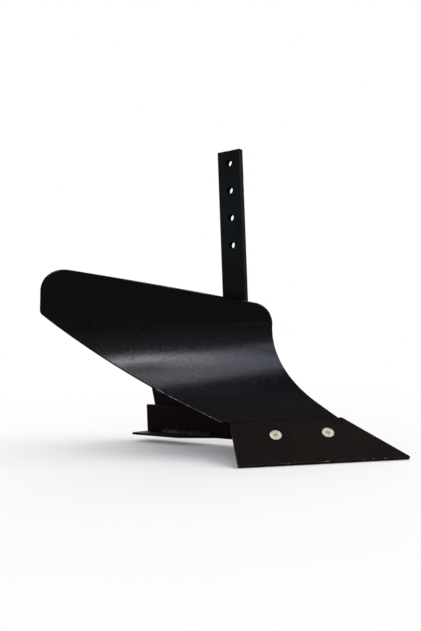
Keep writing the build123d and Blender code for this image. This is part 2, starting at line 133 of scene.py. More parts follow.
def blackEnamel(name, look):
    # sprayed enamel over rolled steel: a deep black whose satin sheen spreads a light into a soft band,
    # with the steel's grain showing through, faint clouding, a few light specks and fine scratches
    material, tree = newMaterial(name)
    place = addNode(tree, "TexCoord").outputs["Object"]
    turned = addNode(tree, "Mapping", {"Vector": place, "Rotation": look["grainTurn"]})
    stretched = addNode(tree, "VectorMath", {0: turned.outputs[0], 1: look["grainStretch"]},
                        operation="MULTIPLY")
    grain = addNode(tree, "TexNoise", {
        "Vector": stretched.outputs[0], "Scale": perMm(look["grainMm"]), "Detail": 5.0, "Roughness": 0.62})
    mottle = addNode(tree, "TexNoise", {
        "Vector": place, "Scale": perMm(look["mottleMm"]), "Detail": 4.0, "Roughness": 0.55})
    grit = addNode(tree, "TexNoise", {
        "Vector": place, "Scale": perMm(look["speckMm"]), "Detail": 2.0, "Roughness": 0.5})
    specks = addNode(tree, "MapRange", {
        "Value": grit.outputs[0], 1: look["speckFrom"],
        2: look["speckFrom"] + enamelMarks["speckSoft"]}, clamp=True)
    tone = addNode(tree, "MapRange", {
        "Value": mottle.outputs[0], 1: enamelMarks["cloud"][0], 2: enamelMarks["cloud"][1]}, clamp=True)
    paint = addNode(tree, "Mix", {
        0: tone.outputs[0], 6: linear(look["deep"]), 7: linear(look["pale"])}, data_type="RGBA")
    marked = addNode(tree, "Mix", {
        0: specks.outputs[0], 6: paint.outputs[2], 7: linear(look["speck"])}, data_type="RGBA")
    colour = marked.outputs[2]
    gloss = addNode(tree, "MapRange", {
        "Value": grain.outputs[0], 1: enamelMarks["grain"][0], 2: enamelMarks["grain"][1],
        3: look["roughness"] - look["roughSpread"], 4: look["roughness"] + look["roughSpread"]}, clamp=True)
    rough = gloss.outputs[0]
    for pits in look.get("pits", []):  # fine pitting that dulls the gloss
        peel = addNode(tree, "TexNoise", {"Vector": place, "Scale": perMm(pits["pitMm"]), "Detail": 2.0})
        dull = addNode(tree, "MapRange", {
            "Value": peel.outputs[0], 1: pits["from"], 2: pits["to"],
            3: 0.0, 4: pits["dulling"]}, clamp=True)
        rough = addNode(tree, "Math", {0: rough, 1: dull.outputs[0]}, operation="ADD").outputs[0]
    if "scratch" in look:  # thin lines, in patches
        scratch = look["scratch"]
        leaning = addNode(tree, "Mapping", {
            "Vector": place, "Rotation": scratch["turn"], "Scale": scratch["stretch"]})
        lines = addNode(tree, "TexNoise", {
            "Vector": leaning.outputs[0], "Scale": perMm(scratch["lineMm"]), "Detail": 1.0})
        patches = addNode(tree, "TexNoise", {
            "Vector": place, "Scale": perMm(scratch["patchMm"]), "Detail": 2.0})
        both = addNode(tree, "Math", {0: lines.outputs[0], 1: patches.outputs[0]}, operation="MULTIPLY")
        cut = addNode(tree, "MapRange", {
            "Value": both.outputs[0], 1: scratch["from"],
            2: scratch["from"] + enamelMarks["scratchSoft"]}, clamp=True)
        scored = addNode(tree, "Mix", {
            0: cut.outputs[0], 6: colour, 7: linear(scratch["colour"])}, data_type="RGBA")
        colour = scored.outputs[2]
        dulled = addNode(tree, "Math", {
            0: cut.outputs[0], 1: scratch["dulling"], 2: rough}, operation="MULTIPLY_ADD")
        rough = dulled.outputs[0]
    if "chips" in look:  # paint worn through to bare steel
        chips = look["chips"]
        flakes = addNode(tree, "TexNoise", {
            "Vector": place, "Scale": perMm(chips["chipMm"]), "Detail": 4.0, "Roughness": 0.7})
        bare = addNode(tree, "MapRange", {
            "Value": flakes.outputs[0], 1: chips["from"],
            2: chips["from"] + enamelMarks["chipSoft"]}, clamp=True)
        rubbed = addNode(tree, "Mix", {
            0: bare.outputs[0], 6: colour, 7: linear(chips["colour"])}, data_type="RGBA")
        colour = rubbed.outputs[2]
    lumps = addNode(tree, "Bump", {
        "Height": grain.outputs[0], "Distance": look["bumpMm"] * mm, "Strength": 1.0})
    shader = addNode(tree, "BsdfPrincipled", {
        "Base Color": colour, "Roughness": rough, "Specular IOR Level": look["sheen"],
        "IOR": 1.5, "Normal": lumps.outputs[0]})
    addNode(tree, "OutputMaterial", {"Surface": shader.outputs[0]})
    return material


# grain, pits, specks and scratches are finer in life, and are drawn coarser here so that they show
boardLook = {  # smooth satin paint: one soft bright band, finely pitted, with a few scratches
    "deep": "#030304", "pale": "#060608", "speck": "#2a2a2e",
    "grainTurn": (0, 0, -sweep), "grainStretch": (0.15, 1.0, 1.0), "grainMm": 3.0,
    "mottleMm": 55.0, "speckMm": 5.0, "speckFrom": 0.78,
    "roughness": 0.155, "roughSpread": 0.02, "bumpMm": 0.018, "sheen": 0.046,
    "pits": [{"pitMm": 2.2, "from": 0.42, "to": 0.7, "dulling": 0.07},
             {"pitMm": 3.0, "from": 0.54, "to": 0.72, "dulling": 0.18}],
    "scratch": {"turn": (0.3, 0.9, -0.5), "stretch": (0.03, 1.0, 1.0), "lineMm": 1.6, "patchMm": 45.0,
                "from": 0.48, "colour": "#18181c", "dulling": 0.1},
}
shareLook = {  # duller and browner than the board, with grain along the blade
    "deep": "#0d0706", "pale": "#140b09", "speck": "#2c2622",
    "grainTurn": (0, 0, -sweep), "grainStretch": (0.06, 1.0, 1.0), "grainMm": 4.0,
    "mottleMm": 30.0, "speckMm": 5.0, "speckFrom": 0.75,
    "roughness": 0.48, "roughSpread": 0.06, "bumpMm": 0.05, "sheen": 0.03,
}
frameLook = {  # thin paint that lets the brown of the mill scale through
    "deep": "#0a0301", "pale": "#100603", "speck": "#2b211c",
    "grainTurn": (0, 0, 0), "grainStretch": (0.06, 1.0, 1.0), "grainMm": 4.0,
    "mottleMm": 35.0, "speckMm": 6.0, "speckFrom": 0.75,
    "roughness": 0.5, "roughSpread": 0.06, "bumpMm": 0.05, "sheen": 0.03,
}
shankLook = {  # cool even black, with the bar's grain running up it
    "deep": "#030304", "pale": "#070708", "speck": "#222326",
    "grainTurn": (0, 0, 0), "grainStretch": (1.0, 1.0, 0.05), "grainMm": 4.0,
    "mottleMm": 40.0, "speckMm": 5.0, "speckFrom": 0.74,
    "roughness": 0.32, "roughSpread": 0.05, "bumpMm": 0.02, "sheen": 0.03,
}
boardEdgeWearAndHighlightLook = {  # paint rubbed off the board's lower edge, grey with bright bare spots, and painted paler as a highlight where that edge catches light
    "deep": "#3f3a38", "pale": "#6e6763", "speck": "#8d857f",
    "grainTurn": (0, 0, 0), "grainStretch": (1.0, 1.0, 1.0), "grainMm": 5.0,
    "mottleMm": 22.0, "speckMm": 7.0, "speckFrom": 0.7,
    "roughness": 0.42, "roughSpread": 0.06, "bumpMm": 0.03, "sheen": 0.08,
    "chips": {"chipMm": 10.0, "from": 0.55, "colour": "#c4bbb5"},
}
shareEdgeLook = dict(boardEdgeWearAndHighlightLook, deep="#100b09", pale="#1a1412", speck="#38322e",
                     chips={"chipMm": 8.0, "from": 0.59, "colour": "#857c73"})
frameEdgeLook = dict(boardEdgeWearAndHighlightLook, deep="#0a0504", pale="#130d0b", speck="#2c2521", sheen=0.04,
                     chips={"chipMm": 18.0, "from": 0.7, "colour": "#463f39"})
shankEdgeLook = dict(frameEdgeLook, deep="#030304", pale="#070708", speck="#222326", sheen=0.03,
                     chips={"chipMm": 14.0, "from": 0.72, "colour": "#303032"})
holeShadeLook = dict(shankLook, deep="#010101", pale="#020202", speck="#0a0a0a", sheen=0.0)  # painted shade: darker and matt, so the holes' walls look shaded
rimShadeLook = dict(boardLook, deep="#020203", pale="#050506", speck="#1a1a1c", roughness=0.5, sheen=0.01)  # painted shade: darker and matt, so the board's rounded rim shows no light line
weldLook = {  # lumpy under the paint, with light catching on the ripples
    "deep": "#0d0907", "pale": "#171210", "speck": "#38312c",
    "grainTurn": (0, 0, 0), "grainStretch": (1.0, 1.0, 1.0), "grainMm": 3.0,
    "mottleMm": 10.0, "speckMm": 5.0, "speckFrom": 0.68,
    "roughness": 0.5, "roughSpread": 0.1, "bumpMm": 0.12, "sheen": 0.06,
}
bareWeldLook = dict(weldLook, deep="#0a0403", pale="#130a08", speck="#3d3733", speckFrom=0.7,
                    chips={"chipMm": 9.0, "from": 0.55, "colour": "#5a534e"})  # brushed bare in patches
boardPaint = blackEnamel("satinEnamelOnRolledSheet", boardLook)
sharePaint = blackEnamel("enamelOnFlatBar", shareLook)
framePaint = blackEnamel("thinEnamelOnHotRolledPlate", frameLook)
shankPaint = blackEnamel("enamelOnHotRolledBar", shankLook)
boardEdgeWearAndHighlight = blackEnamel("enamelRubbedWithPaintedHighlightOnLowEdge", boardEdgeWearAndHighlightLook)
shareEdge = blackEnamel("enamelRubbedAtShareEdge", shareEdgeLook)
frameEdge = blackEnamel("enamelThinOnPlateEdge", frameEdgeLook)
shankEdge = blackEnamel("enamelOnBarEdge", shankEdgeLook)
boardRimShade = blackEnamel("enamelDarkenedAsRimShade", rimShadeLook)
holeShadePaint = blackEnamel("enamelDarkenedAsHoleShade", holeShadeLook)
weldPaint = blackEnamel("enamelOverWeldBead", weldLook)
bareWeld = blackEnamel("brushedWeldBead", bareWeldLook)

zincLook = {
    "pale": "#e3dbcc", "dull": "#b4ab9e", "mottleMm": 3.5, "shiftMm": 7.0,
    "dullRoughness": 0.4, "paleRoughness": 0.24,
    "cloud": (0.35, 0.65), "cloudGloss": (0.3, 0.7),  # parts of the noise's range, from 0 to 1
}


def zincPlate(name, look):
    # zinc-plated steel: warm silver, a little cloudy, duller where the plating is dark
    material, tree = newMaterial(name)
    place = addNode(tree, "TexCoord").outputs["Object"]
    shifted = addNode(tree, "Mapping", {"Vector": place, "Location": [look["shiftMm"] * mm] * 3})
    cloud = addNode(tree, "TexNoise", {
        "Vector": shifted.outputs[0], "Scale": perMm(look["mottleMm"]), "Detail": 4.0, "Roughness": 0.6})
    tone = addNode(tree, "MapRange", {
        "Value": cloud.outputs[0], 1: look["cloud"][0], 2: look["cloud"][1]}, clamp=True)
    plate = addNode(tree, "Mix", {
        0: tone.outputs[0], 6: linear(look["dull"]), 7: linear(look["pale"])}, data_type="RGBA")
    gloss = addNode(tree, "MapRange", {
        "Value": cloud.outputs[0], 1: look["cloudGloss"][0], 2: look["cloudGloss"][1],
        3: look["dullRoughness"], 4: look["paleRoughness"]}, clamp=True)
    shader = addNode(tree, "BsdfPrincipled", {
        "Base Color": plate.outputs[2], "Metallic": 1.0, "Roughness": gloss.outputs[0]})
    addNode(tree, "OutputMaterial", {"Surface": shader.outputs[0]})
    return material


screwZinc = zincPlate("zincPlatedSteel", zincLook)
print("materials made")


def newPiece(name, bm, materials, slotName, nodeName):
    mesh = bpy.data.meshes.new(name)
    bm.to_mesh(mesh)
    bm.free()
    for material in materials:
        mesh.materials.append(material)
    piece = bpy.data.objects.new(name, mesh)
    bpy.context.scene.collection.objects.link(piece)
    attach(piece, "root")
    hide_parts(nodeName)
    return piece


def smoothFaces(bm, degrees):  # smooth shading, with creases at sharp edges and where the material changes
    bm.normal_update()
    for face in bm.faces:
        face.smooth = True
    for edge in bm.edges:
        pair = edge.link_faces
        edge.smooth = (len(pair) == 2 and pair[0].material_index == pair[1].material_index
                       and edge.calc_face_angle() < math.radians(degrees))


def cleanCopy(nodeName, sameMm=0.002, flatDegrees=0.3):  # the CAD mesh, with flat faces in one piece
    bm = bmesh.new()
    bm.from_mesh(nodes[nodeName].data)
    bmesh.ops.remove_doubles(bm, verts=bm.verts, dist=sameMm * mm)
    bmesh.ops.dissolve_limit(bm, angle_limit=math.radians(flatDegrees), verts=bm.verts, edges=bm.edges)
    for face in bm.faces:
        face.material_index = 0
    return bm


def islands(bm):  # groups of joined points, in the mesh's own order
    seen = set()
    for start in bm.verts:
        group, waiting = [], [start]
        while waiting:
            vert = waiting.pop()
            if vert in seen:
                continue
            seen.add(vert)
            group.append(vert)
            waiting += [e.other_vert(vert) for e in vert.link_edges]
        if group:
            yield group


# screws: where the CAD model has them, read from the rims of their heads
def screwPlaces(rimMm=0.01):
    bm = cleanCopy("share_screws")
    places = []
    for group in islands(bm):
        top = max(v.co.dot(shareNormal) for v in group)
        rim = [v.co for v in group if v.co.dot(shareNormal) > top - rimMm * mm]
        spot = shareNormal * top
        for axis in (along, shareRise):
            reaches = [c.dot(axis) for c in rim]
            spot += axis * (min(reaches) + max(reaches)) / 2
        places.append(spot)
    bm.free()
    return sorted(places, key=lambda p: p.x)


shareAxes = Matrix((along, shareRise, shareNormal)).transposed().to_4x4()
screwSpots = screwPlaces()

# plates and bars: the CAD shape with its sharp edges rounded, and thin or worn paint on those edges; the
# board's rim has painted shade, part of its lower edge a painted highlight along with the wear, and the
# shank's holes painted shade
plateEdges = {  # piece, paint, paint on its edges, slot and edge radius in mm
    "mouldboard": ("rolledMouldboard", boardPaint, boardRimShade, "board_paint", 0.35),
    "share": ("shareBlade", sharePaint, shareEdge, "share_paint", 0.4),
    "shank": ("drilledShank", shankPaint, shankEdge, "shank_paint", 0.5),
    "landside_bar": ("landsideBar", framePaint, frameEdge, "frame_paint", 0.5),
    "sole_plate": ("solePlate", framePaint, frameEdge, "frame_paint", 0.5),
    "frog_plate": ("frogPlate", framePaint, frameEdge, "frame_paint", 0.5),
    "share_seat": ("shareSeat", framePaint, frameEdge, "frame_paint", 0.5),
    "front_rib": ("frontRib", framePaint, frameEdge, "frame_paint", 0.5),
    "heel_rib": ("heelRib", framePaint, frameEdge, "frame_paint", 0.5),
}
edgeMarks = {
    "bend": 35.0, "shareBend": 60.0,  # degrees; sharper edges are rounded, apart from the share's own arris
    "crease": 30.0,  # degrees; sharper edges aren't shaded smooth
    "arris": (20.0, 70.0),  # degrees from the share's face to its broken edges
    "screwRoomMm": 12.0,  # round each screw, where the share's edges aren't worn
    "holeRoomMm": 8.0,  # from the bar's middle, round its drilled holes, whose rims stay sharp
    "rimStepMm": 0.7,  # points on the board's rim closer than this become one
    "rollAxisMm": (-180.9, -196.1),  # axis of the board's roll, back and up
    "rollFrom": -43.0,  # degrees; the board is flat below this
    "rimLean": 0.95,  # cosine to the board's face, under which a face is on its rim
    "lowEdge": (-0.3, -0.2),  # down and front; faces that lean past both are the front of the lower edge
    "wornAndHighlitMm": (-75.0, 20.0),  # part of that edge painted pale, as rubbed paint and as a painted highlight, along the line of travel
}


def rollNormal(spot):  # square to the board's faces
    axisBack, axisUp = edgeMarks["rollAxisMm"]
    turn = math.atan2(spot.z - axisUp * mm, spot.dot(back) - axisBack * mm)
    turn = max(turn, math.radians(edgeMarks["rollFrom"]))
    return back * math.cos(turn) + up * math.sin(turn)


def roundedCopy(nodeName, choice):
    pieceName, paint, edgePaint, slotName, edgeMm = choice
    bm = cleanCopy(nodeName)
    bent = math.radians(edgeMarks["shareBend" if nodeName == "share" else "bend"])
    sharp = [e for e in bm.edges if e.is_manifold and e.calc_face_angle() > bent]
    if nodeName == "mouldboard":  # even steps along its rim, so that the rounding stays smooth
        rim = list(dict.fromkeys(v for e in sharp for v in e.verts))
        bmesh.ops.remove_doubles(bm, verts=rim, dist=edgeMarks["rimStepMm"] * mm)
        sharp = [e for e in bm.edges if e.is_manifold and e.calc_face_angle() > bent]
    if nodeName == "shank":
        sharp = [e for e in sharp if max(abs(v.co.x) for v in e.verts) > edgeMarks["holeRoomMm"] * mm]
    bmesh.ops.bevel(bm, geom=sharp, offset=edgeMm * mm, segments=2, profile=0.5,
                    affect="EDGES", clamp_overlap=False, material=1)
    if nodeName == "share":
        for face in bm.faces:
            lean = math.degrees(face.normal.angle(shareNormal))
            clear = min((face.calc_center_median() - s).length for s in screwSpots)
            arris = edgeMarks["arris"][0] < lean < edgeMarks["arris"][1]
            if arris and clear > edgeMarks["screwRoomMm"] * mm:
                face.material_index = 1
    third = []
    if nodeName == "mouldboard":
        third = [boardEdgeWearAndHighlight]
        wornAndHighlitFrom, wornAndHighlitTo = edgeMarks["wornAndHighlitMm"]
        down, front = edgeMarks["lowEdge"]
        for face in bm.faces:
            middle = face.calc_center_median()
            out = rollNormal(middle)
            lean = face.normal.dot(out)
            # faces on the board's rim take the darker, matt rim paint: painted shade
            if abs(lean) < edgeMarks["rimLean"]:
                # the front of the lower edge, in its rubbed part, gets pale paint: rubbed paint and a
                # painted highlight where the edge catches light
                low = (face.normal - out * lean).normalized().z < down and lean < front
                bare = wornAndHighlitFrom < middle.x / mm < wornAndHighlitTo
                face.material_index = 2 if low and bare else 1
    # the shank's hole walls get painted shade: a darker, matt paint where the holes' own shade falls
    if nodeName == "shank":
        third = [holeShadePaint]
        for face in bm.faces:
            if max(abs(v.co.x) for v in face.verts) < edgeMarks["holeRoomMm"] * mm:
                face.material_index = 2
    smoothFaces(bm, edgeMarks["crease"])
    return newPiece(pieceName, bm, [paint, edgePaint] + third, slotName, nodeName)


for nodeName, choice in plateEdges.items():
    roundedCopy(nodeName, choice)
print("plates made")


# turned and hexagonal pieces: rings of points round a screw's axis, in mm from the middle of its head
def hexRadius(acrossFlats, turn):
    step = math.radians(60)
    return lambda angle: acrossFlats / 2 / math.cos((angle - turn) % step - step / 2)


def ringSurface(bm, rings, place, closed=False, segments=48):
    loops = []
    for radius, depth in rings:
        if radius == 0:
            loops.append([bm.verts.new(place @ Vector((0, 0, -depth * mm)))])
            continue
        loop = []
        for i in range(segments):
            angle = 2 * math.pi * i / segments
            r = radius(angle) if callable(radius) else radius
            d = depth(r) if callable(depth) else depth
            spot = Vector((r * math.cos(angle), r * math.sin(angle), -d)) * mm
            loop.append(bm.verts.new(place @ spot))
        loops.append(loop)
    pairs = list(zip(loops, loops[1:])) + ([(loops[-1], loops[0])] if closed else [])
    for first, second in pairs:
        for i in range(segments):
            j = (i + 1) % segments
            corners = [first[i % len(first)], first[j % len(first)],
                       second[j % len(second)], second[i % len(second)]]
            bm.faces.new(list(dict.fromkeys(corners)))


fastenerForm = {  # mm
    "head": 17.0, "shank": 8.0, "length": 27.0,
    "headRim": [(0.55, 0.0), (0.3, 0.07), (0.25, 0.22)],  # rounding: in from the rim, down from the face
    "neck": [(0.15, -0.1), (0.0, 0.25)],  # rounding from cone to shank: out and down from their corner
    "socket": 5.0, "socketDepth": 3.2, "socketTip": 0.3, "socketCorner": 0.25, "socketLead": 0.35,
    "floorPart": 0.46, "mouthPart": 0.62,  # radii of the socket's floor and mouth, parts of its width
    "pitch": 1.25, "threadDepth": 0.55, "threadFrom": 20.8, "threadSteps": 8, "crestFlat": 0.1,
    "endChamfer": 1.1, "endFlat": 1.5, "endDip": 0.1,
    "seatDepth": 10.7, "washer": 16.0, "washerHole": 9.0, "washerThick": 1.6,
    "washerRound": 0.25, "washerHoleRound": 0.12,
    "spring": 14.2, "springThick": 2.2, "springSplit": 1.6, "springLift": 0.3, "springSteps": 44,
    "springRound": 0.2, "springHoleRound": 0.15,
    "nut": 13.0, "nutHigh": 6.8, "nutGap": 0.05, "nutLead": 0.5,
    "nutLand": 0.475, "nutFall": 30.0,  # radius of the flat end, part of the width; degrees at the corners
    "turns": (14.0, 41.0),  # degrees that each screw stopped at
    "crease": 28.0,  # degrees; sharper edges aren't shaded smooth
}


def screwRings(form, turn):
    width, low = form["socket"], form["socketDepth"]
    socket = hexRadius(width, turn)
    head, shank = form["head"] / 2, form["shank"] / 2
    rings = [(0, low + form["socketTip"]), (width * form["floorPart"], low),
             (socket, low - form["socketCorner"]), (socket, form["socketLead"]),
             (width * form["mouthPart"], 0.0)]
    rings += [(head - inward, depth) for inward, depth in form["headRim"]]
    rings += [(shank + outward, head - shank + depth) for outward, depth in form["neck"]]
    rings.append((shank, form["threadFrom"]))
    steps = form["threadSteps"]
    count = int((form["length"] - form["threadFrom"]) / form["pitch"] * steps)
    for i in range(1, count + 1):
        depth = form["threadFrom"] + i * form["pitch"] / steps
        over = max(0.0, depth - form["length"] + form["endChamfer"])

        def crest(angle, depth=depth, over=over):
            turnPart = (depth / form["pitch"] + angle / (2 * math.pi)) % 1
            flank = form["threadDepth"] * abs(2 * turnPart - 1)
            return shank - max(flank, form["crestFlat"] + over)
        rings.append((crest, depth))
    return rings + [(shank - form["endFlat"], form["length"]), (0, form["length"] - form["endDip"])]


def nutRings(form, turn):
    flats, tall = hexRadius(form["nut"], turn), form["nutHigh"]
    bore, land = form["shank"] / 2 + form["nutGap"], form["nut"] * form["nutLand"]
    lead = form["nutLead"]

    def fallen(r):
        return max(0.0, r - land) * math.tan(math.radians(form["nutFall"]))
    return [(bore, lead), (bore + lead, 0.0), (land, 0.0), (flats, fallen),
            (flats, lambda r: tall - fallen(r)), (land, tall), (bore + lead, tall), (bore, tall - lead)]


def ringSection(hole, rim, thick, holeRound, rimRound):  # a washer's section, with its four edges broken
    return [(hole, holeRound), (hole + holeRound, 0.0), (rim - rimRound, 0.0), (rim, rimRound),
            (rim, thick - rimRound), (rim - rimRound, thick),
            (hole + holeRound, thick), (hole, thick - holeRound)]


def washerRings(form):
    return ringSection(form["washerHole"] / 2, form["washer"] / 2, form["washerThick"],
                       form["washerHoleRound"], form["washerRound"])


def springCoil(bm, form, place, turn):
    rim, lift, steps = form["spring"] / 2, form["springLift"], form["springSteps"]
    opening = form["springSplit"] / rim
    section = ringSection(form["washerHole"] / 2, rim, form["springThick"] - lift,
                          form["springHoleRound"], form["springRound"])
    loops = []
    for i in range(steps + 1):
        part = i / steps
        angle = turn + opening / 2 + part * (2 * math.pi - opening)
        spots = [Vector((r * math.cos(angle), r * math.sin(angle), -d - part * lift)) for r, d in section]
        loops.append([bm.verts.new(place @ (spot * mm)) for spot in spots])
    for first, second in zip(loops, loops[1:]):
        for i in range(len(section)):
            j = (i + 1) % len(section)
            bm.faces.new((first[i], first[j], second[j], second[i]))
    bm.faces.new(loops[0])
    bm.faces.new(loops[-1])


bareMetal = bpy.data.collections.new("bareMetal")  # the pieces that the lamps are kept off


def makeFasteners(form):
    screwBm, washerBm, springBm, nutBm = (bmesh.new() for _ in range(4))
    washerFrom = form["seatDepth"]
    springFrom = washerFrom + form["washerThick"]
    nutFrom = springFrom + form["springThick"]
    for spot, degrees in zip(screwSpots, form["turns"]):
        turn = math.radians(degrees)
        head = Matrix.Translation(spot) @ shareAxes
        washerAt, springAt, nutAt = (
            head @ Matrix.Translation((0, 0, -depth * mm)) for depth in (washerFrom, springFrom, nutFrom))
        ringSurface(screwBm, screwRings(form, turn), head)
        ringSurface(washerBm, washerRings(form), washerAt, closed=True)
        springCoil(springBm, form, springAt, 2 * turn)
        ringSurface(nutBm, nutRings(form, 3 * turn), nutAt, closed=True)
    for name, bm, nodeName in (
        ("shareScrews", screwBm, "share_screws"),
        ("flatWashers", washerBm, "flat_washers"),
        ("springWashers", springBm, "spring_washers"),
        ("shareNuts", nutBm, "share_nuts"),
    ):
        bmesh.ops.recalc_face_normals(bm, faces=bm.faces)
        smoothFaces(bm, form["crease"])
        bareMetal.objects.link(newPiece(name, bm, [screwZinc], "plain_screw", nodeName))


makeFasteners(fastenerForm)
print("fasteners made")

# weld beads: overlapping ripples along the corner that the CAD bead fills
weldForm = {
    "pitchMm": 2.7, "bowMm": 2.0, "rippleDepth": 0.09, "bulgeMm": 0.9,
    "drift": 0.5, "driftMm": 9.0,  # how far the pitch strays, in ripples, and over what length
    "wander": 0.07, "wanderMm": 6.0, "wanderSeed": 5.0,  # how much the bead's size strays
    "roundEndMm": 3.5, "endSize": 0.4,  # a bead's ends shrink to this part of its size
    "stepMm": 0.45, "across": 10, "fewestSteps": 8, "seedStep": 3.7,
    "endRoomMm": 0.05,  # points this near a bead's end are on its end face
    "crease": 70.0,  # degrees; sharper edges aren't shaded smooth
}
skinForm = {  # for the beads that aren't straight
    "edgeMm": 1.3, "passes": 4,  # edges longer than this are halved, this often
    "rippleMm": 0.45, "gritMm": 0.35, "gritPerMetre": 350.0,
    "collarMm": 10.0,  # radius of the stay bar's collars
    "crease": 60.0,
}


def beadLines(group, form):  # corner, run and legs of a straight bead, from its end face
    faces = list(dict.fromkeys(f for v in group for f in v.link_faces))
    longest = max((e for f in faces for e in f.edges), key=lambda e: e.calc_length())
    axis = (longest.verts[1].co - longest.verts[0].co).normalized()
    reaches = [v.co.dot(axis) for v in group]
    nearEnd = min(reaches) + form["endRoomMm"] * mm
    ends = [f for f in faces if all(v.co.dot(axis) < nearEnd for v in f.verts)]
    if len(ends) != 1:
        return None
    loop = [v.co for v in ends[0].verts]
    legs = [(loop[i - 1] - c, loop[(i + 1) % len(loop)] - c) for i, c in enumerate(loop)]
    at = max(range(len(loop)), key=lambda i: min(leg.length for leg in legs[i]))
    return loop[at].copy(), axis * (max(reaches) - min(reaches)), legs[at]


def rippleHeight(phase):  # 1 on a ripple's back, 0 in the crease between two
    return 1 - (2 * (phase % 1) - 1) ** 2


def layBead(bm, lines, form, seed):
    corner, run, (legA, legB) = lines
    crown = (legA + legB).normalized() * form["bulgeMm"] * mm
    steps = max(form["fewestSteps"], int(run.length / (form["stepMm"] * mm)))
    loops = []
    for i in range(steps + 1):
        reach = run.length * i / steps / mm
        loop = [bm.verts.new(corner + run * (i / steps))]
        nearEnd = max(0.0, min(reach, run.length / mm - reach) / form["roundEndMm"])
        least = form["endSize"]
        endSize = 1 if nearEnd >= 1 else least + (1 - least) * math.sqrt(1 - (1 - nearEnd) ** 2)
        for k in range(form["across"] + 1):
            part = k / form["across"]
            side = 2 * part - 1
            drift = form["drift"] * noise.noise(Vector((reach / form["driftMm"], seed, 0)))
            phase = (reach + form["bowMm"] * (1 - side * side)) / form["pitchMm"] + drift
            stray = noise.noise(Vector((reach / form["wanderMm"], side, seed + form["wanderSeed"])))
            crease = 1 - rippleHeight(phase)
            size = 1 - form["rippleDepth"] * crease - form["wander"] * (0.5 + 0.5 * stray)
            spot = legA * (1 - part) + legB * part + crown * 4 * part * (1 - part)
            loop.append(bm.verts.new(corner + run * (i / steps) + spot * size * endSize))
        loops.append(loop)
    for first, second in zip(loops, loops[1:]):
        for i in range(len(first)):
            j = (i + 1) % len(first)
            bm.faces.new((first[i], first[j], second[j], second[i]))
    bm.faces.new(loops[0])
    bm.faces.new(loops[-1])


def rippledBeads(nodeName, pieceName, material, slotName, form):
    source, bm = cleanCopy(nodeName), bmesh.new()
    for count, group in enumerate(islands(source)):
        lines = beadLines(group, form)
        if lines is None:
            print("no straight bead in", nodeName)
        else:
            layBead(bm, lines, form, form["seedStep"] * count)
    source.free()
    bmesh.ops.recalc_face_normals(bm, faces=bm.faces)
    smoothFaces(bm, form["crease"])
    newPiece(pieceName, bm, [material], slotName, nodeName)


straightBeads = {
    "sole_weld": ("soleBead", bareWeld, "bare_weld"),
    "landside_welds": ("landsideStitches", weldPaint, "painted_weld"),
    "shank_welds": ("shankBeads", weldPaint, "painted_weld"),
    "seat_weld": ("seatBead", weldPaint, "painted_weld"),
    "foot_welds": ("footBeads", weldPaint, "painted_weld"),
    "rib_welds": ("ribBeads", weldPaint, "painted_weld"),
}
for nodeName, choice in straightBeads.items():
    rippledBeads(nodeName, *choice, weldForm)


def rippledSkin(nodeName, pieceName, reachAt, form):  # ripples pressed into the bead's own shape
    bm = cleanCopy(nodeName)
    bmesh.ops.triangulate(bm, faces=bm.faces)
    for _ in range(form["passes"]):
        longEdges = [e for e in bm.edges if e.calc_length() > form["edgeMm"] * mm]
        bmesh.ops.subdivide_edges(bm, edges=longEdges, cuts=1)
        bmesh.ops.triangulate(bm, faces=bm.faces)
    bm.normal_update()
    moves = []
    for vert in bm.verts:
        phase = reachAt(vert.co) / (weldForm["pitchMm"] * mm)
        grit = 0.5 + 0.5 * noise.noise(vert.co * form["gritPerMetre"])
        depth = form["rippleMm"] * (1 - rippleHeight(phase)) + form["gritMm"] * grit
        moves.append(-vert.normal * depth * mm)
    for vert, move in zip(bm.verts, moves):
        vert.co += move
    smoothFaces(bm, form["crease"])
    newPiece(pieceName, bm, [weldPaint], "painted_weld", nodeName)


stayMiddle = sum(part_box("stay_bar"), Vector()) / 2


def upShin(spot):
    return spot.z


def roundStay(spot):  # distance round the stay bar, at the collar's radius
    offset = spot - stayMiddle
    return math.atan2(offset.z, offset.x) * skinForm["collarMm"] * mm


rippledSkin("shin_weld", "shinBead", upShin, skinForm)
rippledSkin("stay_welds", "stayCollars", roundStay, skinForm)
nodes["stay_bar"].data.materials.clear()
nodes["stay_bar"].data.materials.append(framePaint)
print("welds made")

# floor, world and lamps
stageSet = {
    "floorColour": "#f0f0f0", "floorSize": 12.0,  # metres each way
    "floorGapMm": 0.2,  # below the share's cutting edge
    "fadeFrom": 0.45, "fadeTo": 1.0,  # metres from the plough, where the floor turns plain white
    "ambient": 0.865, "ambientColour": "#f9faff",  # cool, so that the shadow is too
}


def seenRays(tree):  # camera, glossy and transmission rays all see the white surroundings
    path = addNode(tree, "LightPath")
    first = addNode(tree, "Math", {
        0: path.outputs["Is Camera Ray"], 1: path.outputs["Is Glossy Ray"]}, operation="MAXIMUM")
    return addNode(tree, "Math", {
        0: first.outputs[0], 1: path.outputs["Is Transmission Ray"]}, operation="MAXIMUM").outputs[0]


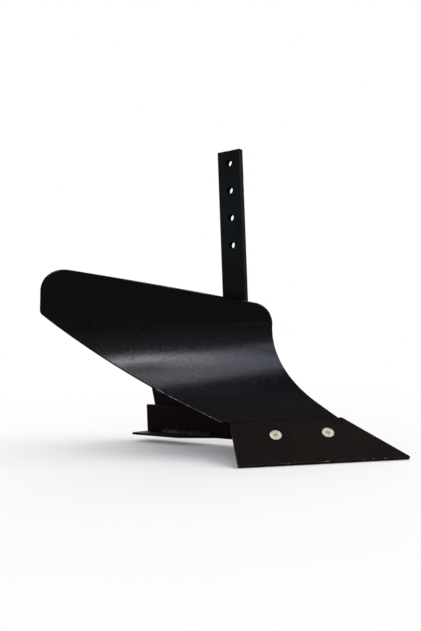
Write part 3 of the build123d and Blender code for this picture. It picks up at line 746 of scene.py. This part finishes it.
def addFloor(choice):
    # matt pale studio floor: keeps the soft shadow near the plough, plain white further off
    material, tree = newMaterial("mattStudioFloor")
    place = addNode(tree, "TexCoord").outputs["Object"]
    far = addNode(tree, "VectorMath", {0: place}, operation="LENGTH")
    fade = addNode(tree, "MapRange", {
        "Value": far.outputs["Value"], 1: choice["fadeFrom"], 2: choice["fadeTo"]},
        interpolation_type="SMOOTHSTEP", clamp=True)
    share = addNode(tree, "Math", {0: fade.outputs[0], 1: seenRays(tree)}, operation="MULTIPLY")
    matt = addNode(tree, "BsdfDiffuse", {"Color": linear(choice["floorColour"])})
    white = addNode(tree, "Emission", {"Strength": 1.0})
    mixed = addNode(tree, "MixShader", {0: share.outputs[0], 1: matt.outputs[0], 2: white.outputs[0]})
    addNode(tree, "OutputMaterial", {"Surface": mixed.outputs[0]})
    bm = bmesh.new()
    bmesh.ops.create_grid(bm, x_segments=1, y_segments=1, size=choice["floorSize"])
    mesh = bpy.data.meshes.new("studioFloor")
    bm.to_mesh(mesh)
    bm.free()
    mesh.materials.append(material)
    floor = bpy.data.objects.new("studioFloor", mesh)
    floor.location = (0, 0, groundZ - choice["floorGapMm"] * mm)
    bpy.context.scene.collection.objects.link(floor)


def addWorld(choice):
    world = bpy.data.worlds.new("whiteStudio")
    world.use_nodes = True
    tree = world.node_tree
    tree.nodes.clear()
    seen = seenRays(tree)
    strength = addNode(tree, "MapRange", {"Value": seen, 3: choice["ambient"], 4: 1.0})
    tint = addNode(tree, "Mix", {
        0: seen, 6: linear(choice["ambientColour"]), 7: (1, 1, 1, 1)}, data_type="RGBA")
    sky = addNode(tree, "Background", {"Color": tint.outputs[2], "Strength": strength.outputs[0]})
    addNode(tree, "OutputWorld", {"Surface": sky.outputs[0]})
    bpy.context.scene.world = world


lampSet = {
    "side": {"azimuth": 112.0, "elevation": 33.0, "angle": 54.0, "strength": 1.87, "colour": "#fffcee"},
    "aimMm": (-20.0, -70.0, -240.0),  # middle of the board
    "frontStand": {"azimuth": 38.0, "elevation": 27.0, "distanceMm": 1800.0},
    "frontCards": {  # across, up, width and height in mm on the stand, radiance and colour
        "barA": (-410.0, -56.0, 220.0, 192.0, 107.9, "#fff1ff"),
        "panelA": (-410.0, 173.0, 220.0, 265.0, 41.6, "#fff1ff"),
        "barB": (-200.0, -164.0, 200.0, 201.0, 97.3, "#f6f2ff"),
        "panelB": (-200.0, 531.0, 200.0, 560.0, 27.0, "#f6f2ff"),
        "barC": (0.0, -60.0, 200.0, 410.0, 53.2, "#f3f1ff"),
        "panelC": (0.0, 425.0, 200.0, 473.0, 28.4, "#f3f1ff"),
        "barD": (200.0, -105.0, 200.0, 404.0, 31.0, "#e8eaff"),
        "panelD": (200.0, 244.0, 200.0, 560.0, 26.0, "#e8eaff"),
        "barE": (390.0, -362.0, 180.0, 188.0, 31.0, "#d8e0ff"),
        "panelE": (390.0, 130.0, 180.0, 460.0, 30.0, "#d8e0ff"),
        "glow": (-80.0, -870.0, 1100.0, 840.0, 1.3, "#d8e0ff"),
        "navy": (50.0, 1080.0, 600.0, 450.0, 2.8, "#6a8cff"),
    },
    "sideStand": {"azimuth": -35.0, "elevation": 17.0, "distanceMm": 1800.0},
    "sideCards": {"shankCard": (0.0, 0.0, 700.0, 500.0, 4.2, "#c5ecff")},
    "topStand": {"azimuth": 75.0, "elevation": 72.0, "distanceMm": 1800.0},
    "topCards": {"ceiling": (0.0, 0.0, 1200.0, 900.0, 1.0, "#f2f0ff")},
    "backStand": {"azimuth": 228.0, "elevation": 34.0, "distanceMm": 1800.0},
    "backCards": {
        "landPanel": (-1300.0, -150.0, 520.0, 900.0, 30.0, "#f2f0ff"),
        "backBar": (-250.0, -120.0, 900.0, 260.0, 28.0, "#f6f3ff"),
        "wingPanel": (850.0, 0.0, 500.0, 700.0, 30.0, "#eaeaff"),
    },
}


def fromAngles(azimuth, elevation):
    a, e = math.radians(azimuth), math.radians(elevation)
    return Vector((math.sin(a) * math.cos(e), -math.cos(a) * math.cos(e), math.sin(e)))


def addLamps(choice):
    aim = Vector(choice["aimMm"]) * mm
    sun = choice["side"]
    data = bpy.data.lights.new("sideLight", "SUN")
    data.angle = math.radians(sun["angle"])
    data.energy = sun["strength"]
    data.color = linear(sun["colour"])[:3]
    lamp = bpy.data.objects.new("sideLight", data)
    lamp.rotation_euler = fromAngles(sun["azimuth"], sun["elevation"]).to_track_quat("Z", "Y").to_euler()
    bpy.context.scene.collection.objects.link(lamp)
    # the lamps suit the enamel's faint sheen and would burn out zinc, which mirrors the white world alone
    for held in bareMetal.collection_objects:
        held.light_linking.link_state = "EXCLUDE"
    lamp.light_linking.receiver_collection = bareMetal
    for place in ("front", "side", "top", "back"):
        stand, cards = place + "Stand", place + "Cards"
        towards = fromAngles(choice[stand]["azimuth"], choice[stand]["elevation"])
        side = Vector((-towards.y, towards.x, 0)).normalized()
        rise = towards.cross(side)
        middle = aim + towards * choice[stand]["distanceMm"] * mm
        for name, (across, high, width, height, radiance, colour) in choice[cards].items():
            data = bpy.data.lights.new(name, "AREA")
            data.shape = "RECTANGLE"
            data.size, data.size_y = width * mm, height * mm
            data.energy = radiance * math.pi * data.size * data.size_y
            data.color = linear(colour)[:3]
            lamp = bpy.data.objects.new(name, data)
            axes = Matrix((side, rise, towards)).transposed().to_4x4()
            lamp.matrix_world = Matrix.Translation(middle + (side * across + rise * high) * mm) @ axes
            lamp.visible_camera = False
            lamp.visible_diffuse = False  # a reflector card: it shows in the sheen and adds no other light
            lamp.light_linking.receiver_collection = bareMetal
            bpy.context.scene.collection.objects.link(lamp)


addFloor(stageSet)
addWorld(stageSet)
addLamps(lampSet)
bpy.context.scene.view_settings.view_transform = "Standard"
print("stage lit")
